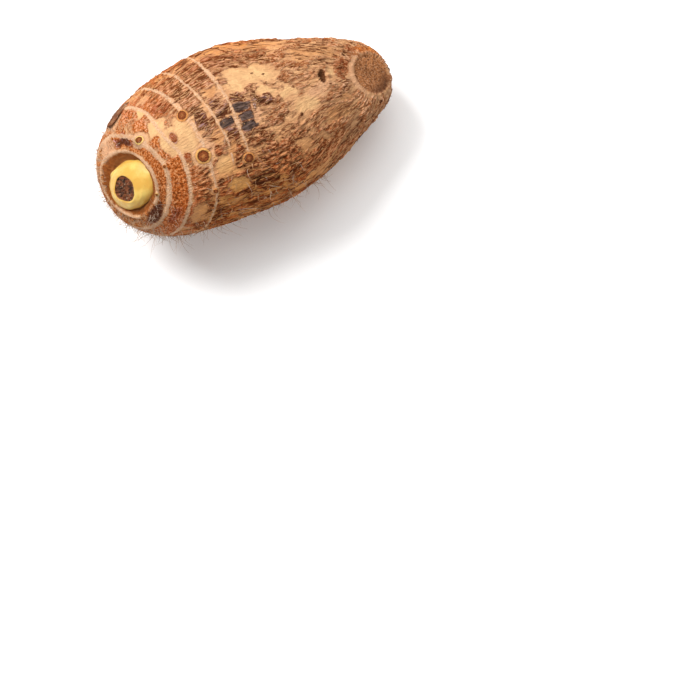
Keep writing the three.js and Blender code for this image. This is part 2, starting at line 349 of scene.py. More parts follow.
class Surface:
    """The fields of the corm's surface at each of its points."""

    def __init__(self, t, turn, look):
        self.t, self.turn, self.look = t, turn, look
        self.degrees = np.degrees(turn)
        self.smooth = skin(t, turn)
        self.normal, _ = outward(t, turn)
        self.measure()
        self.grow_cork()
        self.colour()
        self.zones()

    def measure(self):
        """Millimetres per section, the straightened grain, and the distances to rings and eyes."""
        t, turn = self.t, self.turn
        inside = np.clip(t, STEP, TAIL_POLE - STEP)
        stride = lofted(inside + STEP, turn) - lofted(inside - STEP, turn)
        self.per_section = np.linalg.norm(stride, axis=1) / (2 * STEP)
        knots = np.linspace(0, TAIL_POLE, 151)
        length = np.interp(t, knots, run_along(knots, (45, 90, 135, 180, 270, 0)))
        reach = 8 + 0.6 * LOFT[4](t)
        self.grain = np.stack([length, reach * np.cos(turn), reach * np.sin(turn)], -1)

        wobble = roughness_field(self.grain * 0.2, 3, 1)
        beads = roughness_field(self.grain * np.array([0.3, 0.85, 0.85]), 2, 7)
        gaps = roughness_field(self.grain * 0.12, 2, 8)
        self.lines = [line + 0.03 * wobble for line in ring_lines(t, self.degrees)]
        low_side = smoothstep(50, 25, np.abs(wrapped(self.degrees - 150)))
        spans = []
        for line, (half_width, beaded, left, _) in zip(self.lines, RINGS):
            thinned = 1 + 0.25 * beads + beaded * (0.9 * beads + 0.5 * gaps - 0.1)
            thinned = thinned * (1 + (left - 1) * low_side)
            reach = half_width * np.clip(thinned, 0.15, 1.6)
            spans.append(np.abs(line) * self.per_section / reach)
        spans = np.stack(spans)
        self.ring = np.clip(spans.min(0), 0, 9)
        self.from_tear = np.abs(wrapped(self.degrees - TORN_SIDE))
        torn = (spans.argmin(0) == 0) & (self.from_tear < 21)
        self.ring = np.where(torn, self.ring + 1.5, self.ring)

        self.eye = np.full(len(t), 9.0)
        self.halo = np.full(len(t), 9.0)
        self.yellow = np.zeros(len(t))
        for section, side, disc, halo, yellow in EYES:
            middle = skin(np.array([float(section)]), np.radians([float(side)]))
            away = np.linalg.norm(self.smooth - middle, axis=1)
            nearer = away / disc < self.eye
            self.eye = np.where(nearer, away / disc, self.eye)
            self.halo = np.where(nearer, away / halo, self.halo)
            self.yellow = np.where(nearer, yellow, self.yellow)

    def grow_cork(self):
        """How far the cork stands over the bare skin: covered where it is above 0."""
        grain = self.grain
        fibrous = smoothstep(3.2, 5.2, self.t)
        stretched = grain * np.array([0.09, 0.55, 0.55])
        streaks = roughness_field(stretched, 4, 2)
        blocks = roughness_field(grain * np.array([0.26, 0.4, 0.4]), 3, 3)
        granules = roughness_field(grain * 0.55, 3, 4)
        ropes = roughness_field(grain * np.array([0.09, 0.85, 0.85]), 2, 9)
        cracks = roughness_field(stretched, 3, 10)
        self.rope = fibrous * (1 - 2.2 * np.abs(ropes)) + (1 - fibrous) * 0.5
        self.rope_rise = fibrous * smoothstep(13.7, 12.4, self.t) * self.rope
        self.crack = fibrous * smoothstep(0.17, 0.02, np.abs(cracks))
        self.streaks = streaks
        self.granules = granules
        rough = blocks * 0.8 + fibrous * streaks * 1.25 + (1 - fibrous) * granules * 0.5

        warp = roughness_field(grain * 0.22, 3, 5)
        warp_side = roughness_field(grain * 0.22, 3, 6)
        t = self.t + 0.2 * warp
        degrees = self.degrees + 5.0 * warp_side
        fine_warp = roughness_field(grain * 0.8, 2, 15)
        from_top = np.abs(wrapped(self.degrees - 75))
        # how far round from the top a place lies: it brings more cork blotches there and the painted
        # shade on the sides and below
        self.below = smoothstep(15, 75, from_top) * smoothstep(2.5, 6, self.t)
        blotches = roughness_field(grain * 0.16, 2, 21)
        cover = np.interp(self.t, *zip(*COVER_ALONG)) + rough + 1.1 * blotches * self.below
        self.patch_tint = np.zeros((len(t), 4))
        self.char, self.spot, self.cream = np.zeros((3, len(t)))
        for kind, section, side, half_length, half_width in PATCHES:
            amount, tint = PATCH_KINDS[kind]
            small = half_length < 0.2
            steady = small or kind == "char"
            along = ((self.t if steady else t) - section) / half_length
            across = wrapped((self.degrees if steady else degrees) - side) / half_width
            if kind == "char":
                along, across = along + 0.35 * fine_warp, across + 0.3 * self.streaks
            blocky = 4 if kind == "char" else 2
            away = (np.abs(along) ** blocky + np.abs(across) ** blocky) ** (1 / blocky)
            inside = smoothstep(1.3, 0.7, away)
            cover = cover * (1 - 0.6 * inside) + amount * inside
            if kind == "char":
                self.char = np.maximum(self.char, inside)
            if kind == "dark" and small:
                self.spot = np.maximum(self.spot, inside)
            if kind == "cream":
                self.cream = np.maximum(self.cream, inside)
            if tint is not None:
                colour = np.array([*tint[:3], 1.0])
                self.patch_tint += (colour - self.patch_tint) * inside[:, None]
        # rings and eyes push the cork aside, and so does the cup
        cover -= 1.4 * smoothstep(1.5, 0.7, self.ring)
        cover -= 1.8 * smoothstep(1.15, 0.9, self.halo)
        self.cork = cover

    def colour(self):
        """The colour of cork and of bare skin at each point, with painted shade on the sides and below.
        """
        along, tones = zip(*CORK_ALONG)
        tones = np.array(tones)[:, :3]
        cork = np.stack([np.interp(self.t, along, tones[:, k]) for k in range(3)], -1)
        bare = np.tile(np.array(BARE_SKIN[:3]), (len(self.t), 1))
        tint, strength = self.patch_tint[:, :3], self.patch_tint[:, 3:]
        tint = tint / np.maximum(strength, 1e-6)
        light = tint.mean(1, keepdims=True) > 0.24
        self.cork_colour = np.where(light, cork, cork + (tint - cork) * np.clip(strength, 0, 1))
        self.bare_colour = np.where(light, bare + (tint - bare) * np.clip(strength, 0, 1), bare)
        # painted shade: the skin is darker and browner on the sides and below
        below = (self.below * smoothstep(12.5, 8.0, self.t))[:, None]
        self.cork_colour = self.cork_colour * (1 + (np.array(CORK_BELLY_SHADE) - 1) * below)
        self.bare_colour = self.bare_colour * (1 + (np.array(BARE_BELLY_SHADE) - 1) * below)

    def zones(self):
        """Where the crown, the tail, the collar, the floor of the cup and the break scar lie, and where
        painted shade darkens the scar by its rim on the lower side.
        """
        t, near_pole = self.t, self.t < 3
        self.crown = smoothstep(5.0, 3.6, t)
        self.tail = smoothstep(9.0, 12.0, t)
        self.collar = smoothstep(-0.1, -0.17, self.lines[0]) * near_pole
        self.depth = smoothstep(CUP_RADIUS + 0.4, CUP_RADIUS - 0.2, LOFT[4](t)) * near_pole
        self.scar = smoothstep(SCAR_EDGE - 0.05, SCAR_EDGE + 0.05, t + 0.05 * self.granules)
        # painted shade: the break scar darkens next to its rim on the root's lower side
        low_side = smoothstep(90, 20, np.abs(wrapped(self.degrees - 205)))
        self.scar_dark = low_side * smoothstep(SCAR_EDGE + 0.75, SCAR_EDGE + 0.1, t) * 0.85

    def dent(self, spot):
        """How far each point is from a dent's middle, 1 at its edge, and the dent's depth."""
        section, side, half_length, half_width, depth = spot
        across = wrapped(self.degrees - side) / half_width
        return np.hypot((self.t - section) / half_length, across), depth

    def places(self):
        """The finished surface: the smooth skin with its relief."""
        look = self.look
        t, cork = self.t, self.cork
        on_scar = smoothstep(SCAR_EDGE - 0.02, SCAR_EDGE + 0.12, t)
        collar = smoothstep(CUP_RADIUS + 1.4, CUP_RADIUS + 0.2, LOFT[4](t)) * (t < 3)
        moat = smoothstep(CUP_RADIUS - 0.3, CUP_RADIUS - 0.6, LOFT[4](t)) * (t < 3)
        in_cup = CUP_DROP * collar + CUP_DROP * moat
        open_skin = (1 - on_scar) * (1 - in_cup)

        flakes = smoothstep(-0.1, 0.45, cork)
        rise = look.cork_height / MM * flakes * (1 + 0.5 * self.streaks + 0.3 * self.granules)
        rise = rise + look.rope_height / MM * self.rope_rise * (0.35 + 0.65 * flakes)
        rise = rise - look.crack_depth / MM * self.crack * (0.25 + 0.75 * flakes)
        ridge = np.exp(-(self.ring**2) * 1.1)
        ledge = smoothstep(3.0, 0.6, self.ring)
        rise = rise + look.ring_height / MM * (ridge + 0.2 * ledge)
        rim = np.exp(-((self.lines[0] * self.per_section / 0.8) ** 2)) * (t < 3)
        whole = smoothstep(14, 26, self.from_tear)
        rise = rise + 0.5 * rim * (0.35 + 0.65 * whole)
        lip = np.exp(-(((self.eye - 1.15) / 0.22) ** 2))
        dome = smoothstep(0.85, 0.2, self.eye)
        mound = smoothstep(1.25, 0.3, self.halo)
        rise = rise + look.eye_height / MM * (0.55 * lip + 0.5 * dome + 0.6 * mound)
        rise = rise * open_skin
        # the scar's own grain, and its rim
        pits = roughness_field(self.smooth * 0.9, 3, 14)
        off_rim = smoothstep(SCAR_EDGE + 0.05, SCAR_EDGE + 0.3, t)
        rise = rise + on_scar * (0.22 * pits * off_rim - look.scar_depth / MM)
        rise = rise + 0.3 * np.exp(-(((t - SCAR_EDGE + 0.12) / 0.12) ** 2))
        hollow, depth = self.dent(HOLLOW)
        rise = rise - depth * smoothstep(1.0, 0.2, hollow)
        rise = rise + 0.3 * np.exp(-(((hollow - 1.15) / 0.25) ** 2))
        second, depth = self.dent(SECOND_SCAR)
        rise = rise - depth * smoothstep(1.05, 0.7, second)

        places = self.smooth + self.normal * rise[:, None]
        axis = -section_axis(0)
        pole = skin(np.array([0.0]), np.array([0.0]))
        below = (pole - self.smooth) @ axis
        places = places - (in_cup * (CUP_DEPTH - below))[:, None] * axis
        places[:, 2] = np.maximum(places[:, 2], 0.0)
        return places


# Settings


def length(name, description, millimetres):
    return FloatProperty(
        name=name, description=description, default=millimetres * MM, unit="LENGTH", precision=5
    )


def tone(name, description, red, green, blue):
    return FloatVectorProperty(
        name=name, description=description, default=paint(red, green, blue), size=4,
        subtype="COLOR", min=0, max=1,
    )


class TaroCormSettings(PropertyGroup):
    along: IntProperty(name="Rows", description="Rows of faces from crown to tail", default=252)
    around: IntProperty(name="Columns", description="Faces round the corm", default=384)
    cork_height: length("Cork height", "How far the cork stands over the bare skin", 0.22)
    rope_height: length("Fibre height", "How far the bundles of fibres stand up", 0.42)
    crack_depth: length("Crack depth", "How far the cracks between the fibres go down", 0.3)
    ring_height: length("Ring height", "How far a leaf-scar ring stands up", 0.28)
    eye_height: length("Eye height", "How far an eye stands up", 0.55)
    scar_depth: length("Scar depth", "How far the break scar lies below its rim", 0.35)
    ring_colour: tone("Ring colour", "Colour of the leaf-scar lines", 194, 142, 100)
    collar_colour: tone("Collar colour", "Colour of the collar round the bud", 134, 68, 26)
    eye_colour: tone("Eye colour", "Colour of an eye's dried disc", 128, 66, 34)
    eye_ring_colour: tone("Eye ring colour", "Colour of the line round an eye", 200, 134, 76)
    scar_colour: tone("Scar colour", "Colour of the break scar", 186, 120, 72)


class TaroBudSettings(PropertyGroup):
    flesh: tone("Flesh", "Colour of the shoot's flesh", 204, 174, 94)
    pale: tone("Pale flesh", "Colour of the flesh near its foot", 192, 148, 66)
    cut: tone("Dried cut", "Colour of the dried cut on top", 112, 62, 34)


class TaroScaleSettings(PropertyGroup):
    colour: tone("Colour", "Colour of the dry scale", 112, 68, 42)
    thickness: length("Thickness", "Thickness of the dry scale", 0.3)


class TaroHairSettings(PropertyGroup):
    hairs: IntProperty(name="Hairs", description="Fine root hairs", default=1200)
    frayed: IntProperty(name="Frayed", description="Short hairs on the torn ring", default=50)
    fibres: IntProperty(name="Fibres", description="Loose fibres lying on the skin", default=1500)
    thickness: length("Thickness", "Thickness of a hair at its root", 0.1)
    hair_colour: tone("Hair colour", "Colour of the fine root hairs", 140, 104, 78)
    fibre_colour: tone("Fibre colour", "Colour of the loose fibres", 104, 56, 30)


class TaroStageSettings(PropertyGroup):
    floor: tone("Floor", "Colour of the floor", 250, 250, 250)
    key: FloatProperty(name="Key", description="Power of the main light", default=11.0, unit="POWER")
    fill: FloatProperty(name="Fill", description="Brightness of the room", default=0.56)
    distance: length("Distance", "From the camera to the root's middle height", 650)
    view_width: length("View width", "Width that the camera sees at the root's middle height", 195)


# Materials


# Tones that the settings leave alone, as linear colours.
CORK_GAP = (0.065, 0.018, 0.005, 1)
FIBRE_LIFT = (1.75, 2.85, 4.8, 1)  # how much lighter than its cork a raised fibre is
GRANULE_LIFT = (1.25, 2.35, 6.5, 1)  # the same for a raised granule
BLUSH = (0.36, 0.14, 0.06, 1)
SKIN_PORE = (0.24, 0.09, 0.035, 1)
PALE_FIBRE = (0.72, 0.38, 0.17, 1)
SOOT, WORN_SOOT = (0.04, 0.025, 0.021, 1), (0.13, 0.082, 0.066, 1)
SPOT, WORN_SPOT = (0.05, 0.015, 0.005, 1), (0.15, 0.055, 0.02, 1)
RING_PALE = (0.66, 0.44, 0.29, 1)
EYE_SHADE = (0.36, 0.15, 0.06, 1)
EYE_YELLOW = (0.76, 0.50, 0.16, 1)
EYE_BLACK = (0.02, 0.008, 0.004, 1)
COLLAR_SHADE = (0.30, 0.10, 0.025, 1)
CUP_FLOOR = (0.30, 0.105, 0.03, 1)
SCAR_PORE = (0.22, 0.08, 0.03, 1)
SCAR_PALE = (0.58, 0.31, 0.17, 1)
SCAR_GRIT = (0.10, 0.035, 0.014, 1)
# painted shade on the break scar by its rim on the lower side
SCAR_SHADE = (0.11, 0.04, 0.018, 1)
FLESH_SPECK = (0.42, 0.22, 0.05, 1)
CUT_BLACK, CUT_CRUMB = (0.03, 0.014, 0.008, 1), (0.30, 0.17, 0.10, 1)
DRY_BLACK, DRY_PALE = (0.01, 0.006, 0.004, 1), (0.62, 0.36, 0.18, 1)
HAIR_PALE = (0.56, 0.42, 0.31, 1)
LOOSE_PALE = (0.50, 0.26, 0.12, 1)


class Recipe:
    """Lays out the nodes of one material."""

    def __init__(self, name, roughness, specular=0.05, subsurface=0.0):
        self.material = bpy.data.materials.new(name)
        self.material.use_nodes = True
        self.nodes = self.material.node_tree.nodes
        self.links = self.material.node_tree.links
        self.shader = self.nodes["Principled BSDF"]
        self.shader.inputs["Roughness"].default_value = roughness
        self.shader.inputs["Specular IOR Level"].default_value = specular
        if subsurface:
            self.shader.inputs["Subsurface Weight"].default_value = subsurface
            self.shader.inputs["Subsurface Scale"].default_value = 0.002

    def feed(self, socket, value):
        if isinstance(value, bpy.types.NodeSocket):
            self.links.new(value, socket)
        else:
            socket.default_value = value

    def node(self, kind, output, given, **settings):
        """The output of a new node with these settings and inputs."""
        node = self.nodes.new(kind)
        for name, value in settings.items():
            setattr(node, name, value)
        for name, value in given.items():
            self.feed(node.inputs[name], value)
        return node.outputs[output]

    def attribute(self, name, output="Fac"):
        return self.node("ShaderNodeAttribute", output, {}, attribute_name=name)

    def object_place(self):
        return self.node("ShaderNodeTexCoord", "Object", {})

    def stretch(self, vector, scale):
        return self.node("ShaderNodeMapping", "Vector", {"Vector": vector, "Scale": scale})

    def noise(self, vector, scale, detail=4.0, roughness=0.6, distortion=0.0):
        given = {"Vector": vector, "Scale": scale, "Detail": detail, "Roughness": roughness}
        return self.node("ShaderNodeTexNoise", "Fac", {**given, "Distortion": distortion})

    def cells(self, vector, scale):
        return self.node("ShaderNodeTexVoronoi", "Distance", {"Vector": vector, "Scale": scale})

    def math(self, operation, first, second=0.0, third=0.0):
        return self.node("ShaderNodeMath", 0, {0: first, 1: second, 2: third}, operation=operation)

    def between(self, value, low, high, to_low=0.0, to_high=1.0):
        """value taken smoothly from low..high to to_low..to_high."""
        given = {"Value": value, "From Min": low, "From Max": high, "To Min": to_low, "To Max": to_high}
        return self.node("ShaderNodeMapRange", "Result", given, interpolation_type="SMOOTHSTEP")

    def line_through(self, value, half_width, strength=1.0):
        """A thin line wherever a noise crosses its middle."""
        away = self.math("ABSOLUTE", self.math("SUBTRACT", value, 0.5))
        return self.between(away, half_width, 0.015, 0.0, strength)

    def mix(self, share, first, second, blend="MIX"):
        given = {0: share, 6: first, 7: second}
        return self.node("ShaderNodeMix", 2, given, data_type="RGBA", blend_type=blend)

    def bump(self, height, distance, strength=1.0):
        node = self.nodes.new("ShaderNodeBump")
        node.inputs["Strength"].default_value = strength
        node.inputs["Distance"].default_value = distance
        self.feed(node.inputs["Height"], height)
        self.links.new(node.outputs["Normal"], self.shader.inputs["Normal"])

    def finish(self, colour, roughness=None):
        self.feed(self.shader.inputs["Base Color"], colour)
        if roughness is not None:
            self.feed(self.shader.inputs["Roughness"], roughness)
        return self.material


def corm_material(look):
    r = Recipe("taro_skin", 0.75)
    place = r.stretch(r.object_place(), (1 / MM, 1 / MM, 1 / MM))
    grain = r.attribute("grain", "Vector")
    crown = r.attribute("crown")
    long_fibres = r.noise(r.stretch(grain, (0.09, 1.0, 1.0)), 1.2, 4.0, 0.6, 0.4)
    fibres = r.noise(r.stretch(grain, (0.11, 1.0, 1.0)), 2.4, 4.0, 0.6, 0.3)
    fine = r.noise(r.stretch(grain, (0.07, 1.0, 1.0)), 1.5, 3.0, 0.55, 0.5)
    speckle = r.noise(grain, 2.0, 3.0, 0.65)
    grit = r.noise(grain, 2.8, 2.0, 0.7)
    granules = r.noise(grain, 1.5, 3.0, 0.75)
    broad = r.noise(grain, 0.35, 2.0, 0.5)

    # cork breaks up along its edge, in grains near the crown and in fibres further along
    ragged = r.mix(crown, r.mix(0.4, long_fibres, fibres), speckle)
    edge = r.math("MULTIPLY_ADD", ragged, 4.6, -2.3)
    height = r.math("ADD", r.attribute("cork"), edge)
    covered = r.between(height, -0.25, 0.2)

    # cork: deep brown between the fibres, lighter along them
    tone = r.attribute("cork_colour", "Color")
    deep = r.mix(r.math("MULTIPLY_ADD", r.attribute("tail"), -0.35, 0.76), tone, CORK_GAP)
    light = r.mix(1.0, tone, r.mix(crown, FIBRE_LIFT, GRANULE_LIFT), "MULTIPLY")
    ropy = r.math("MULTIPLY_ADD", r.attribute("rope"), 0.2, r.math("SUBTRACT", fibres, 0.1))
    strand = r.mix(crown, ropy, granules)
    cork = r.mix(r.between(strand, 0.42, 0.5), deep, tone)
    cork = r.mix(r.between(strand, 0.52, 0.58), cork, light)
    cork = r.mix(r.between(height, 0.5, 0.1, 0.0, 0.4), cork, light)
    dark_line = r.line_through(long_fibres, 0.05)
    dark_line = r.math("MULTIPLY", dark_line, r.math("SUBTRACT", 0.6, crown))
    cork = r.mix(r.math("MAXIMUM", dark_line, r.attribute("crack")), cork, deep)

    # bare skin: blotched, with a pinkish brown bloom along the fibres
    skin_tone = r.attribute("bare_colour", "Color")
    blush = r.mix(0.6, skin_tone, BLUSH)
    streaked = r.math("SUBTRACT", 1.0, r.math("MULTIPLY", r.attribute("cream"), 0.75))
    streaked = r.math("MULTIPLY", r.between(fibres, 0.54, 0.40, 0.0, 0.7), streaked)
    bare = r.mix(streaked, skin_tone, blush)
    bare = r.mix(r.between(broad, 0.62, 0.4, 0.0, 0.4), bare, blush)
    bare = r.mix(r.between(grit, 0.66, 0.72, 0.0, 0.6), bare, SKIN_PORE)
    colour = r.mix(covered, bare, cork)
    pale_line = r.line_through(fine, 0.035, 0.6)
    pale_line = r.math("MULTIPLY", pale_line, r.math("SUBTRACT", covered, crown))
    colour = r.mix(pale_line, colour, r.mix(0.35, skin_tone, PALE_FIBRE))

    # charred plates and dark spots
    soft_edge = r.math("MULTIPLY_ADD", speckle, 0.6, -0.3)
    burnt = r.math("ADD", r.attribute("char"), r.math("MULTIPLY_ADD", fibres, 1.6, -0.8))
    charred = r.between(r.math("ADD", burnt, soft_edge), 0.3, 0.65, 0.0, 0.9)
    soot = r.mix(r.between(fibres, 0.4, 0.62), SOOT, WORN_SOOT)
    colour = r.mix(charred, colour, soot)
    spot = r.between(r.math("ADD", r.attribute("spot"), soft_edge), 0.35, 0.6, 0.0, 0.9)
    colour = r.mix(spot, colour, r.mix(fibres, SPOT, WORN_SPOT))

    frayed = r.math("MULTIPLY_ADD", speckle, 1.6, -0.8)
    frayed = r.math("ADD", frayed, r.attribute("ring"))
    on_ring = r.between(frayed, 1.35, 0.6, 0.0, 0.9)
    pale_ring = r.mix(r.between(grit, 0.35, 0.65), look["ring_colour"], RING_PALE)
    colour = r.mix(on_ring, colour, pale_ring)

    # eyes: a pale halo, a line round the disc, and the dried disc with its paler middle
    eye, halo, yellow = r.attribute("eye"), r.attribute("halo"), r.attribute("yellow")
    wavy = r.math("MULTIPLY_ADD", speckle, 0.5, -0.25)
    halo = r.math("ADD", halo, wavy)
    eye = r.math("ADD", eye, wavy)
    colour = r.mix(r.between(halo, 1.1, 0.75, 0.0, 0.75), colour, pale_ring)
    eye_line = r.mix(yellow, look["eye_ring_colour"], EYE_YELLOW)
    colour = r.mix(r.between(eye, 1.72, 1.58, 0.0, 0.7), colour, EYE_SHADE)
    colour = r.mix(r.between(eye, 1.52, 1.42), colour, eye_line)
    rim = r.mix(0.6, look["eye_colour"], EYE_BLACK)
    middle = r.mix(0.5, look["eye_colour"], look["eye_ring_colour"])
    disc = r.mix(r.between(eye, 0.15, 0.6), middle, look["eye_colour"])
    disc = r.mix(r.between(eye, 0.8, 1.0), disc, rim)
    disc = r.mix(r.between(speckle, 0.48, 0.65, 0.0, 0.6), disc, rim)
    colour = r.mix(r.between(eye, 1.18, 1.05), colour, disc)

    # the collar inside the first ring, and the break scar on the tail with painted shade by its rim on
    # the lower side
    collar = r.mix(r.between(fibres, 0.35, 0.65), look["collar_colour"], COLLAR_SHADE)
    collar = r.mix(r.attribute("depth"), collar, CUP_FLOOR)
    colour = r.mix(r.attribute("collar"), colour, collar)
    pores = r.cells(place, 1.5)
    scar_grit = r.noise(place, 2.2, 3.0, 0.7)
    scar = r.mix(r.between(pores, 0.15, 0.5), SCAR_PORE, look["scar_colour"])
    scar = r.mix(r.between(scar_grit, 0.5, 0.62, 0.0, 0.8), scar, SCAR_PALE)
    scar = r.mix(r.between(scar_grit, 0.47, 0.38, 0.0, 0.8), scar, SCAR_GRIT)
    scar = r.mix(r.attribute("scar_dark"), scar, SCAR_SHADE)
    colour = r.mix(r.attribute("scar"), colour, scar)

    height = r.math("MULTIPLY_ADD", covered, 0.35, r.math("MULTIPLY", fibres, 1.1))
    height = r.math("ADD", height, r.math("MULTIPLY", grit, 0.6))
    r.bump(height, 0.0006, 1.0)
    return r.finish(colour, r.between(covered, 0.0, 1.0, 0.55, 0.85))


def bud_material(look):
    r = Recipe("shoot_flesh", 0.5, 0.2, 0.12)
    place = r.object_place()
    soft = r.noise(place, 260.0, 3.0, 0.5)
    specks = r.noise(place, 1500.0, 2.0, 0.6)
    streaks = r.noise(r.stretch(place, (1.0, 1.0, 0.35)), 900.0, 3.0, 0.6)
    foot = r.attribute("foot")
    flesh = r.mix(r.between(soft, 0.35, 0.7), look["pale"], look["flesh"])
    flesh = r.mix(foot, flesh, look["pale"])
    flesh = r.mix(r.between(specks, 0.66, 0.72, 0.0, 0.5), flesh, FLESH_SPECK)
    ragged = r.math("MULTIPLY_ADD", specks, 0.4, r.attribute("cut"))
    on_cut = r.between(ragged, 0.6, 0.75)
    dried = r.mix(r.between(streaks, 0.35, 0.62), CUT_BLACK, look["cut"])
    dried = r.mix(r.between(specks, 0.58, 0.7, 0.0, 0.7), dried, CUT_CRUMB)
    r.bump(r.mix(on_cut, soft, r.math("ADD", streaks, specks)), 0.0004, 0.7)
    return r.finish(r.mix(on_cut, flesh, dried), r.between(on_cut, 0.0, 1.0, 0.4, 0.85))


def dry_material(name, colour):
    r = Recipe(name, 0.85)
    place = r.object_place()
    veins = r.noise(r.stretch(place, (0.3, 1.0, 0.6)), 1400.0, 4.0, 0.65)
    broad = r.noise(place, 300.0, 3.0, 0.5)
    dark = r.mix(0.6, colour, DRY_BLACK)
    pale = r.mix(0.35, colour, DRY_PALE)
    base = r.mix(r.between(veins, 0.35, 0.6), dark, colour)
    base = r.mix(r.between(broad, 0.5, 0.75), base, pale)
    r.bump(veins, 0.0003, 0.8)
    return r.finish(base)


def strand_material(name, dark, light):
    r = Recipe(name, 0.8)
    streaks = r.noise(r.object_place(), 1800.0, 3.0, 0.6)
    tone = r.math("MULTIPLY_ADD", streaks, 0.5, r.math("SUBTRACT", r.attribute("tone"), 0.25))
    r.bump(streaks, 0.0001, 0.6)
    return r.finish(r.mix(r.between(tone, 0.2, 0.9), dark, light))


# Pieces


def mesh_of(name, bm):
    mesh = bpy.data.meshes.new(name)
    bm.to_mesh(mesh)
    bm.free()
    return mesh


def placed_piece(name, mesh, material, slot, *replaced):
    """Turns a mesh in metres into a piece that rides on the root."""
    piece = bpy.data.objects.new(name, mesh)
    bpy.context.scene.collection.objects.link(piece)
    mesh.materials.clear()
    mesh.materials.append(material)
    mesh.polygons.foreach_set("use_smooth", np.ones(len(mesh.polygons), bool))
    mesh.update()
    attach(piece, "root")
    if replaced:
        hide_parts(*replaced)
    return piece


def ball_mesh(name, around, rows):
    """The mesh of a ball of radius 1, and its points."""
    bm = bmesh.new()
    bmesh.ops.create_uvsphere(bm, u_segments=around, v_segments=rows, radius=1.0)
    mesh = mesh_of(name, bm)
    points = np.empty(len(mesh.vertices) * 3)
    mesh.vertices.foreach_get("co", points)
    return mesh, points.reshape(-1, 3)


def tones_of(look, *names):
    return {name: tuple(getattr(look, name)) for name in names}


def store(mesh, name, values):
    """Keeps a number, a direction or a colour for each point of the mesh."""
    values = np.asarray(values, np.float32)
    if values.ndim == 1:
        mesh.attributes.new(name, "FLOAT", "POINT").data.foreach_set("value", values)
    elif name.endswith("colour"):
        full = np.concatenate([values, np.ones((len(values), 1), np.float32)], 1)
        mesh.attributes.new(name, "FLOAT_COLOR", "POINT").data.foreach_set("color", full.ravel())
    else:
        mesh.attributes.new(name, "FLOAT_VECTOR", "POINT").data.foreach_set("vector", values.ravel())


def row_spacing(rows):
    """Sections for rows that lie evenly along the skin."""
    knots = np.linspace(0, TAIL_POLE, 601)
    run = run_along(knots, (90, 90, 180, 0, 270))
    return np.interp(np.linspace(0, run[-1], rows + 1), run, knots)


# What the corm's material reads of its surface.
SURFACE_FIELDS = (
    "grain", "cork", "rope", "crack", "char", "spot", "cream", "ring", "eye", "halo", "yellow",
    "crown", "tail", "collar", "depth", "scar", "scar_dark", "cork_colour", "bare_colour",
)


class TARO_OT_corm(Operator):
    """Grow the corm, with its rings, eyes, corky skin and break scar"""

    bl_idname = "taro.corm"
    bl_label = "Corm"

    def execute(self, context):
        look = context.scene.taro_corm
        mesh, ball = ball_mesh("corm_skin", look.around, look.along)
        row = np.arccos(np.clip(-ball[:, 2], -1, 1)) / math.pi * look.along
        t = row_spacing(look.along)[np.round(row).astype(int)]
        surface = Surface(t, np.arctan2(ball[:, 1], ball[:, 0]), look)
        mesh.vertices.foreach_set("co", (surface.places() * MM).ravel())
        for name in SURFACE_FIELDS:
            store(mesh, name, getattr(surface, name))
        names = ("ring_colour", "collar_colour", "eye_colour", "eye_ring_colour", "scar_colour")
        material = corm_material(tones_of(look, *names))
        placed_piece("corm_skin", mesh, material, "corky_skin", "corm")
        return {"FINISHED"}


